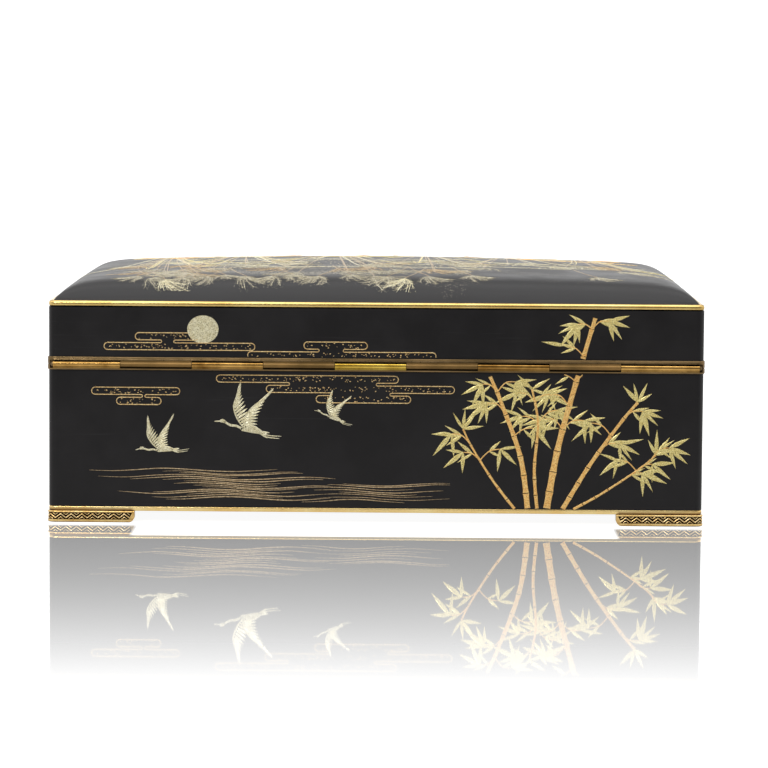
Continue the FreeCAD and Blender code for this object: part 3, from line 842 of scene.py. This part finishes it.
def plume(inlay, foil, neck, heading, side, length, spikes):
    """A drooping ear: spikes that fan out from its neck and bend over, with hairs on both sides."""
    draw = inlay.draw
    for index in range(spikes):
        turn = heading + side * (46 - 78 * index / max(spikes - 1, 1)) + draw.uniform(-6, 6)
        reach = length * draw.uniform(0.75, 1.1)
        middle = on_arc(neck, reach * 0.5, turn)
        tip = on_arc(middle, reach * 0.5, turn - side * draw.uniform(16, 34))
        axis = smooth_path([neck, middle, tip], 5)
        for before, after in zip(axis[1:], axis[2:]):
            along = math.degrees(math.atan2(after[1] - before[1], after[0] - before[0]))
            for hair_turn in (-30, 27):
                hair = along + hair_turn + draw.uniform(-9, 9)
                inlay.shape("hair", foil, before, hair, draw.uniform(1.2, 2.4), 0.3)
        inlay.line(foil, [neck, middle, tip], 0.22, (0.9, 0.3), 0.06, 4)


def grass_clump(inlay, root, height, spread, blades, plumes):
    """Arching blades, and stems that end in drooping plumes, from one root."""
    draw, bends = inlay.draw, ((0, 0), (0.35, 0.6), (0.85, 0.9), (1.4, 0.78))
    for _ in range(blades):
        lean, rise = spread * draw.uniform(-1, 1), height * draw.uniform(0.25, 0.8)
        u, v = root[0] + lean * 0.2 + draw.uniform(-1, 1), root[1] + draw.uniform(-2, 2)
        blade = [(u + lean * across, v + rise * upward) for across, upward in bends]
        foil = draw.choice(("green_gold", "silver_gold"))
        inlay.line(foil, blade, draw.uniform(0.35, 0.7), (0.6, 0.05))
    for _ in range(plumes):
        lean, rise = spread * draw.uniform(-0.9, 0.9), height * draw.uniform(0.6, 1.0)
        side = 1 if lean > 0 else -1
        u, v = root[0] + lean * 0.2, root[1] + draw.uniform(-2, 2)
        neck = (u + lean * 0.7, v + rise - height * 0.09)
        inlay.line("bronze", [(u, v), (u + lean * 0.2, v + rise * 0.45), neck], 0.34, (1.0, 0.7))
        foil = draw.choice(("plume_silver", "plume_silver", "bronze"))
        plume(inlay, foil, neck, 90 - side * draw.uniform(4, 40), side, height * 0.1, 6)


def blossom(inlay, ring_foils, centre, radius, petals, width):
    """A flower seen from the front: rings of petals, the outer ring first and lowest."""
    eye = 0.16
    for ring, foil in enumerate(ring_foils):
        reach = radius * (1 - 0.27 * ring)
        for index in range(petals):
            angle = 360 / petals * (index + 0.5 * (ring % 2)) + inlay.draw.uniform(-3, 3)
            start = on_arc(centre, reach * eye, angle)
            inlay.shape("petal", foil, start, angle, reach * (1 - eye), width, 1 + 0.6 * ring)


lid_top = Inlay("autumn_grasses", dome_place, lid_band, 5)
broad_mist = [(-30, 42), (-62, 58), (-74, 30), (-50, 66), (-20, 78)]
mist_bank(lid_top, 34, broad_mist, "silver_gold", 0.6, 2.6, 0.8)
for top, rows in ((-34, [(10, 60), (24, 84)]), (-22, [(-88, -50), (-80, -62)])):
    mist_bank(lid_top, top, rows, "pale_gold", 1.4, 1.8, 0.6)
for root, height, spread, blades, plumes in (
    ((-70, -56), 107, 22, 8, 7),
    ((-45, -60), 112, 24, 9, 7),
    ((-16, -62), 122, 24, 10, 10),
    ((15, -60), 128, 26, 10, 12),
    ((47, -58), 122, 24, 10, 12),
    ((73, -54), 120, 20, 9, 12),
):
    grass_clump(lid_top, root, height, spread, blades, plumes)
leaning_right = [(78, 56), (63, 61), (55, 59), (34, 59), (19, 59), (-3, 60), (-9, 62)]
leaning_left = [(72, 60), (68, 64), (49, 56), (42, 60), (27, 56), (8, 56), (-17, 58), (-31, 55)]
leaning_left.append((-72, 52))
for u, v in sorted(leaning_right + leaning_left, reverse=True):
    side = 1 if (u, v) in leaning_right else -1
    foil = "silver_gold" if v > 61 else "plume_silver"
    stem = [(u - side * 7, v - 26), (u - side * 4, v - 12), (u, v)]
    lid_top.line("bronze", stem, 0.34, (1.0, 0.7))
    plume(lid_top, foil, (u, v), 90 - side * 14, side, 9.5, 9)


def chrysanthemum(inlay, ring_foils, centre, radius, foot):
    """A flower of many petals on a bent stem, with trios of leaves on both sides of the stem."""
    draw = inlay.draw
    middle = ((centre[0] + foot[0]) / 2 + draw.uniform(-3, 3), (centre[1] + foot[1]) / 2)
    inlay.line("bronze", [foot, middle, centre], 0.5, (1.0, 0.8))
    stem = smooth_path([foot, middle, centre], 6)
    for index, side in ((2, 1), (4, -1), (6, 1), (8, -1)):
        for turn in (-42, 0, 42):
            leaf = 90 - side * (62 + turn)
            inlay.shape("leaf", "green_gold", stem[index], leaf, radius * 0.75, radius * 0.3, 0.8)
    blossom(inlay, ring_foils, centre, radius, 16, radius * 0.25)
    inlay.disc("bronze", centre, 1.6, 3.0)


warm_flower = ("pale_gold", "warm_gold", "red_gold")
pale_flower = ("silver_gold", "silver_gold", "pale_gold")
for centre, radius, flower, foot in (
    ((-80, -44), 5.6, warm_flower, (-72, -66)),
    ((-60, -46), 7.8, pale_flower, (-64, -68)),
    ((-50, -30), 5.8, warm_flower, (-57, -67)),
    ((-31, -44), 7.0, warm_flower, (-28, -68)),
    ((-6, -46), 7.6, pale_flower, (-2, -68)),
    ((5, -31), 5.4, warm_flower, (1, -67)),
    ((30, -42), 8.0, warm_flower, (34, -68)),
    ((57, -45), 6.6, pale_flower, (61, -67)),
    ((68, -33), 5.6, warm_flower, (64, -68)),
    ((82, -46), 4.8, pale_flower, (74, -66)),
):
    chrysanthemum(lid_top, flower, centre, radius, foot)
lid_top.make()


# ---- Plum on the front, grasses at the ends --------------------------
# The front carries a plum tree in flower beside a stream, and a clump of grass stands at each end
# of the case, with mist along the seam as on the back.

def plum_flower(inlay, centre, radius, width, eye):
    """Five petals round a red eye."""
    blossom(inlay, ["silver_gold"], centre, radius, 5, width)
    inlay.disc("red_gold", centre, eye, 2.0)


def plum_branch(inlay, points, width, gap, shoots):
    """A branch in warm gold with a flower at each gap along it, and young shoots with buds."""
    draw = inlay.draw
    inlay.line("warm_gold", points, width, (1.0, 0.25), 0.07 + 0.02 * width)
    path = smooth_path(points, 8)
    for _ in range(shoots):
        base = path[draw.randrange(len(path) // 4, len(path) - 1)]
        angle, length = draw.uniform(48, 132), draw.uniform(6, 13)
        bend = on_arc(base, length * 0.5, angle + draw.uniform(-14, 14))
        shoot = [base, bend, on_arc(base, length, angle)]
        inlay.line("warm_gold", shoot, 0.46, (1.0, 0.4))
        for spot in smooth_path(shoot, 3)[2::2]:
            inlay.shape("petal", "silver_gold", spot, angle + draw.choice((-38, 38)), 1.5, 1.1)
    for index in range(gap, len(path), gap):
        side = draw.choice((-1, 1)) * draw.uniform(0.8, 2.6)
        centre = (path[index][0] + side, path[index][1] + draw.uniform(-1.5, 1.5))
        inlay.line("warm_gold", [path[index], centre], 0.3, (1.0, 1.0))
        plum_flower(inlay, centre, draw.uniform(2.1, 2.9), 2.1, 0.7)


front = Inlay("plum", front_wall, wall_bands, 12)
front.disc("silver_gold", (57, 62.4), 10)
mist_bank(front, 60.6, [(34, 60), (46, 80)])
mist_bank(front, 47.4, [(20, 70), (36, 88), (44, 62)])
mist_bank(front, 30.0, [(-96, -70), (-90, -62)])
stream(front, -6, 92, 7.6, 18.0, 18, 0.34)
for points, width, gap, shoots in (
    ([(-70, 5), (-66, 14), (-54, 22), (-46, 31), (-30, 36)], 4.2, 40, 4),
    ([(-54, 22), (-62, 32), (-60, 42), (-66, 52), (-64, 66)], 1.9, 6, 3),
    ([(-46, 31), (-40, 42), (-28, 50), (-14, 58), (-2, 64)], 1.7, 5, 5),
    ([(-30, 36), (-18, 36), (-6, 41), (6, 40), (16, 44)], 1.6, 5, 4),
    ([(-40, 34), (-34, 26), (-22, 25), (-12, 21)], 1.2, 4, 2),
    ([(-66, 14), (-76, 22), (-80, 31), (-90, 36)], 1.3, 5, 3),
):
    plum_branch(front, points, width, gap, shoots)
front.make()

for name, place, lean in (("left_end", left_wall, -1), ("right_end", right_wall, 1)):
    end = Inlay(name, place, wall_bands, 40 + lean)
    low, high = -lean * 20, lean * 14
    mist_bank(end, 47.0, [(low - 22, low + 22), (low - 30, low + 12)])
    mist_bank(end, 61.0, [(high - 20, high + 24), (high - 12, high + 10)])
    stream(end, -56, 56, 7.6, 14.0, 10, 0.34)
    grass_clump(end, (lean * 26, 6), 42, 16, 14, 7)
    end.make()


# ---- Lacquered linings and fittings ----------------------------------
# The inside is thin cypress board under amber lacquer, sprinkled with gold flakes. The tray, its
# board, the brush rests and the rails are wood under plain black lacquer.

def flaked_lacquer():
    gloss = {"Coat_Weight": 0.6, "Coat_Roughness": 0.12, "Roughness": 0.45}
    material, tree = new_finish("flaked_lacquer", **gloss)
    lacquer, flake = lacquer_with_flakes(object_place(tree))
    return dress(material, Base_Color=lacquer, Metallic=flake, Normal=relief_bump(flake, 0.01))


def clouded(name, sizes, dark, light, roughness, relief, **fixed):
    """A smooth finish, cloudy from dark to light, and from one roughness to the other."""
    material, tree = new_finish(name, **fixed)
    skin, cloud, grain = hand_finished(tree, *sizes, dark, light)
    rough = rescale(cloud, 0.0, 1.0, *roughness)
    return dress(material, Base_Color=skin, Roughness=rough, Normal=relief_bump(grain, relief))


def black_lacquer():
    gloss = {"Coat_Weight": 0.7, "Coat_Roughness": 0.08}
    dark, light = (16, 13, 12), (26, 20, 18)
    return clouded("black_lacquer", (20.0, 0.6), dark, light, (0.25, 0.35), 0.004, **gloss)


coat_nodes(flaked_lacquer(), "body_lining", "floor_lining", "lid_lining")
coat_nodes(black_lacquer(), "writing_tray", "inkstone_board", "tray_rail_*", "brush_rest_*")


# ---- Things in the tray ----------------------------------------------
# The inkstone is ground slate, stained where the ink pools. The dropper is patinated copper with a
# sprig of plum inlaid round its filling hole. The ink stick is pressed soot with a gilt pattern.

def slate():
    material, tree = new_finish("slate")
    pool_x, pool_heights, wander = (-40 * mm, -52 * mm), (40 * mm, 39.2 * mm), 14 * mm
    x, _, height = split(object_place(tree))
    stone, cloud, grain = hand_finished(tree, 9.0, 0.35, (44, 46, 51), (62, 64, 68), (84, 86, 88))
    shore = math_node("ADD", x, product(cloud, wander))
    stain = product(rescale(shore, *pool_x), rescale(height, *pool_heights))
    dry_roughness = rescale(grain, 0.3, 0.7, 0.55, 0.75)
    return dress(
        material,
        Base_Color=blend_colours(stain, stone, (13, 13, 15)),
        Roughness=math_node("SUBTRACT", dry_roughness, product(stain, 0.34)),
        Normal=relief_bump(grain, 0.03),
    )


def patinated_copper():
    material, tree = new_finish("patinated_copper", Metallic=0.85)
    skin, _, grain = hand_finished(tree, 6.0, 0.3, (104, 58, 38), (150, 92, 58), (196, 132, 84))
    dimples = {"Vector": object_place(tree), "Scale": 620.0}
    return dress(
        material,
        Base_Color=skin,
        Roughness=rescale(grain, 0.3, 0.7, 0.30, 0.46),
        Normal=relief_bump(output(tree, "TexVoronoi", dimples, feature="SMOOTH_F1"), 0.12, 0.7),
    )


coat_nodes(slate(), "inkstone")
coat_nodes(patinated_copper(), "dropper_vessel", "dropper_top")
pressed_ink = clouded("pressed_ink", (5.0, 0.2), (15, 15, 18), (26, 26, 30), (0.28, 0.5), 0.02)
coat_nodes(pressed_ink, "ink_stick")


def flat_place(x, y, z):
    """Turns (u, v, height) in mm about a spot on a level top, seen from the side that opens."""
    return lambda u, v, height: Vector((x - u, y - v, z + height)) * mm


sprig = Inlay("dropper_sprig", flat_place(64.0, -36.9, 42.0), {"dropper": (-18.0, 18.0)}, 3)
for points, width, height in (
    ([(-15, -13), (-8, -9), (-3, -10.5), (4, -7), (12, -9)], 1.1, 0.1),
    ([(-8, -9), (-10, -2), (-7, 5), (-9, 12)], 0.8, 0.07),
    ([(4, -7), (9, -1), (13, 6)], 0.6, 0.07),
):
    sprig.line("warm_gold", points, width, (1.0, 0.3), height)
for u, v, radius in ((-9, 1, 3.0), (-8, 12, 2.4), (0, -9, 3.0), (12, 6, 2.6), (13, -9, 2.2)):
    plum_flower(sprig, (u, v), radius, radius * 0.9, 0.8)
sprig.make()

mould = Inlay("ink_stick_pattern", flat_place(64.0, -0.9, 39.0), {"ink_stick": (-7.0, 7.0)}, 4)
corner_radius = 1.4
for inset in (0.0, 0.9):
    half_u, half_v = 28.0 - inset - corner_radius, 5.6 - inset - corner_radius
    border = []
    for side, end, first in ((1, 1, 0), (-1, 1, 90), (-1, -1, 180), (1, -1, 270)):
        middle = (side * half_u, end * half_v)
        border += [(*on_arc(middle, corner_radius, first + 15 * step), 0.3) for step in range(7)]
    mould.strip("warm_gold", border + border[:1], 0.1)
vine = [(-22, -3), (-12, 1.2), (0, -1.4), (10, 1.6), (21, -0.6)]
mould.line("warm_gold", vine, 0.9, (0.9, 0.3), 0.1)
for u, v, radius in ((-15, 1.2, 2.6), (-5, -1.4, 2.3), (5, 1.6, 2.6), (14, -0.6, 2.3)):
    blossom(mould, ["warm_gold"], (u, v), radius, 5, radius * 0.9)
mould.make()


# ---- Brushes ---------------------------------------------------------
# Each brush is a length of bamboo with a turned horn collar, and hair glued into the collar: a
# packed core that is the plain tuft, under loose strands that run from the collar to the point.

def bamboo_skin():
    material, tree = new_finish("bamboo_skin", Coat_Weight=0.3, Coat_Roughness=0.3)
    place, to_joint, half_length = object_place(tree), 26 * mm, 19 * mm
    fibre = rescale(noise(place, (22.0, 900.0, 900.0), 3.0), 0.35, 0.65)
    from_joint = math_node("PINGPONG", math_node("ADD", split(place)[0], to_joint), half_length)
    joint = rescale(from_joint, 0.9 * mm, 0.3 * mm)
    skin = blend_colours(fibre, (176, 132, 72), (220, 182, 116))
    return dress(
        material,
        Base_Color=blend_colours(joint, skin, (112, 72, 36)),
        Roughness=rescale(fibre, 0.0, 1.0, 0.42, 0.34),
        Normal=relief_bump(math_node("SUBTRACT", product(fibre, 0.12), joint), 0.2),
    )


def turned_horn():
    material, tree = new_finish("turned_horn", Coat_Weight=0.5, Coat_Roughness=0.1, Roughness=0.3)
    return dress(material, Base_Color=hand_finished(tree, 3.0, 0.3, (22, 14, 10), (58, 36, 22))[0])


def hair(name, bright, deep, tip):
    """Hair drawn along X, which darkens over the last millimetres before its point."""
    material, tree = new_finish(name, Roughness=0.55, Sheen_Weight=0.3)
    place = object_place(tree)
    strand = rescale(noise(place, (30.0, 2600.0, 2600.0), 2.0), 0.38, 0.62)
    pointed = rescale(split(place)[0], (tip + 14) * mm, tip * mm)
    skin = blend_colours(pointed, blend_colours(strand, deep, bright), deep)
    return dress(material, Base_Color=skin, Normal=relief_bump(strand, 0.06))


def strand_tree():
    """Turns each drawn line into a strand of hair that thins to its point."""
    tree, given = new_tree("hair_strands", {"Thickness": 0.16 * mm, "Finish": "Material"})
    line = output(tree, "MeshToCurve", {"Mesh": given["Geometry"]})
    taper = rescale(add_node(tree, "SplineParameter").outputs["Factor"], 0.4, 1.0, 1.0, 0.25)
    return close_tree(tree, sweep(line, 3, given["Thickness"], Scale=taper), given["Finish"])


def strand_lines(tuft, count, draw):
    """Lines over the tuft from its root to just short of its point, each with its own drift."""
    skin, hidden, well_outside, steps = skin_of(tuft.data), 0.06 * mm, 20 * mm, 8
    axes = zip(*(vertex.co for vertex in tuft.data.vertices))
    (point, top), *sides = [(min(axis), max(axis)) for axis in axes]
    middle, root = [(low + high) / 2 for low, high in sides], top - 0.3 * mm
    points, edges = [], []
    for _ in range(count):
        angle, drift = draw.uniform(0, 2 * math.pi), draw.uniform(-0.25, 0.25)
        first = len(points)
        end = draw.uniform(0.80, 0.985)
        for step in range(steps + 1):
            share = end * step / steps
            centre = Vector((root - (root - point) * share, *middle))
            out = Vector((0, math.cos(angle + drift * share), math.sin(angle + drift * share)))
            spot, _, _, _ = skin.ray_cast(centre + out * well_outside, -out)
            points.append(centre + out * max((spot - centre).length - hidden if spot else 0.0, 0.0))
        edges += [(first + step, first + step + 1) for step in range(steps)]
    return new_mesh("strand_lines", points, edges)


bamboo_finish, horn_finish, strands = bamboo_skin(), turned_horn(), strand_tree()
for brush, count, tip, bright, deep in (
    ("brush_large", 420, -83.8, (238, 224, 194), (192, 166, 122)),
    ("brush_small", 320, -79.8, (214, 170, 112), (150, 98, 52)),
):
    finish = hair(f"{brush}_hair", bright, deep, tip)
    coat_nodes(bamboo_finish, f"{brush}_handle")
    coat_nodes(horn_finish, f"{brush}_collar")
    coat_nodes(finish, f"{brush}_tuft")
    lines = strand_lines(nodes[f"{brush}_tuft"], count, random.Random(count))
    loose = grow(f"{brush}_strands", lines, strands, {"Finish": finish})
    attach(loose, brush)


for shape in shapes.values():
    bpy.data.objects.remove(shape)


# ---- Floor, lamps and camera -----------------------------------------
# A white table top, polished in front of the hinge side, and two large soft lamps over the box.
# The white surround is dim behind the camera and halfway up the far side.

reach = 6.0
corners = [(-reach, -reach, 0), (reach, -reach, 0), (reach, reach, 0), (-reach, reach, 0)]
floor = new_object("table_top", new_mesh("table_top", corners, (), [(0, 1, 2, 3)]))
white = (1, 1, 1, 1)


def table_white():
    """Matt white that keeps the shadow, under a polish that fades away from the box."""
    material, tree = new_finish("table_white", Base_Color=(0.3, 0.3, 0.3, 1), Emission_Color=white)
    place = object_place(tree)
    x, y, _ = split(place)
    aside = math_node("ABSOLUTE", x)
    distance = add_node(tree, "VectorMath", {0: place}, operation="LENGTH").outputs["Value"]
    light_path = add_node(tree, "LightPath").outputs
    seen = light_path["Is Camera Ray"]
    seen_glow = product(rescale(distance, 0.2, 0.7, 0.94, 1.0), seen)
    mirrored_glow = product(rescale(y, -0.45, -0.14, 0.0, 0.45), light_path["Is Glossy Ray"])
    glow = math_node("ADD", seen_glow, mirrored_glow)
    dress(material, Roughness=0.9, Specular_IOR_Level=0.0, Emission_Strength=glow)
    gone = math_node("POWER", rescale(y, -0.09, -0.445), 3.0)
    before_feet = product(rescale(y, -0.079, -0.086), rescale(aside, 0.0755, 0.077))
    before_walls = rescale(y, -0.1055, -0.107)
    polished = product(
        seen,
        math_node("SUBTRACT", 1.0, gone),
        math_node("MAXIMUM", before_feet, before_walls),
        rescale(aside, 0.13, 0.105),
        rescale(output(tree, "Fresnel", {"IOR": 1.5}), 0.05, 0.5, 0.0, 0.78),
    )
    matt = tree.nodes["Principled BSDF"].outputs[0]
    polish = output(tree, "BsdfGlossy", {"Color": white, "Roughness": 0.02})
    both = output(tree, "MixShader", {0: polished, 1: matt, 2: polish})
    fill(tree.nodes["Material Output"].inputs["Surface"], both)
    return material


floor.data.materials.append(table_white())

world = bpy.data.worlds.new("studio")
bpy.context.scene.world = world
world.use_nodes = True
sky = world.node_tree
direction = add_node(sky, "TexCoord").outputs["Generated"]
_, ahead, up = split(direction)
tent_axis = (0, math.sqrt(0.5), math.sqrt(0.5))
dot = add_node(sky, "VectorMath", {0: direction, 1: tent_axis}, operation="DOT_PRODUCT")
over = dot.outputs["Value"]
tent = math_node("ADD", rescale(over, -0.42, -0.08, 0.16, 0.85), rescale(over, 0.3, 0.9, 0.0, 1.1))
low_dip = rescale(up, 0.2, 0.75, 0.72, 1.0)
beyond, dip = rescale(ahead, 0.5, 0.8), rescale(up, 0.1, 0.42, 0.25, -0.75)
far_side = math_node("MULTIPLY_ADD", beyond, dip, 1.0)
low_ring = product(rescale(up, 0.34, 0.22), rescale(ahead, -0.6, -0.2, 0.1, 1.0))
glow = math_node("MAXIMUM", product(tent, low_dip, far_side), low_ring)
seen = add_node(sky, "LightPath").outputs["Is Camera Ray"]
backdrop = sky.nodes["Background"].inputs
fill(backdrop["Strength"], math_node("MAXIMUM", glow, seen))
fill(backdrop["Color"], white)


def soft_lamp(name, place, aim, size, power):
    data = bpy.data.lights.new(name, "AREA")
    data.shape = "RECTANGLE"
    data.size, data.size_y = size
    data.energy = power
    lamp = new_object(name, data)
    lamp.location = place
    lamp.rotation_mode = "QUATERNION"
    lamp.rotation_quaternion = (Vector(aim) - Vector(place)).to_track_quat("-Z", "Y")


box_middle = (0, 0, 0.04)
soft_lamp("overhead_lamp", (0.0, -0.25, 0.9), box_middle, (0.9, 0.6), 2.5)
soft_lamp("front_lamp", (-0.5, -1.1, 0.75), box_middle, (0.5, 0.5), 7)

aim, distance = Vector((0.0, -75.0, 40.6)) * mm, 1.15
tilt, yaw, roll = (math.radians(angle) for angle in (5.27, -0.29, 0.40))
frame_width, focal_pixels, shift_pixels, sensor_width = 768, 3589, (8.1, 14.5), 36.0
back = Vector((-math.sin(yaw) * math.cos(tilt), -math.cos(yaw) * math.cos(tilt), math.sin(tilt)))
camera_data = bpy.data.cameras.new("camera")
camera_data.sensor_width = sensor_width
camera_data.lens = focal_pixels * sensor_width / frame_width
camera_data.shift_x, camera_data.shift_y = (shift / frame_width for shift in shift_pixels)
camera_data.clip_start = 0.05
camera = new_object("camera", camera_data)
camera.rotation_mode = "QUATERNION"
camera.location = aim + back * distance
camera.rotation_quaternion = (-back).to_track_quat("-Z", "Y") @ Quaternion((0, 0, 1), roll)
bpy.context.scene.camera = camera
bpy.context.scene.view_settings.view_transform = "Standard"
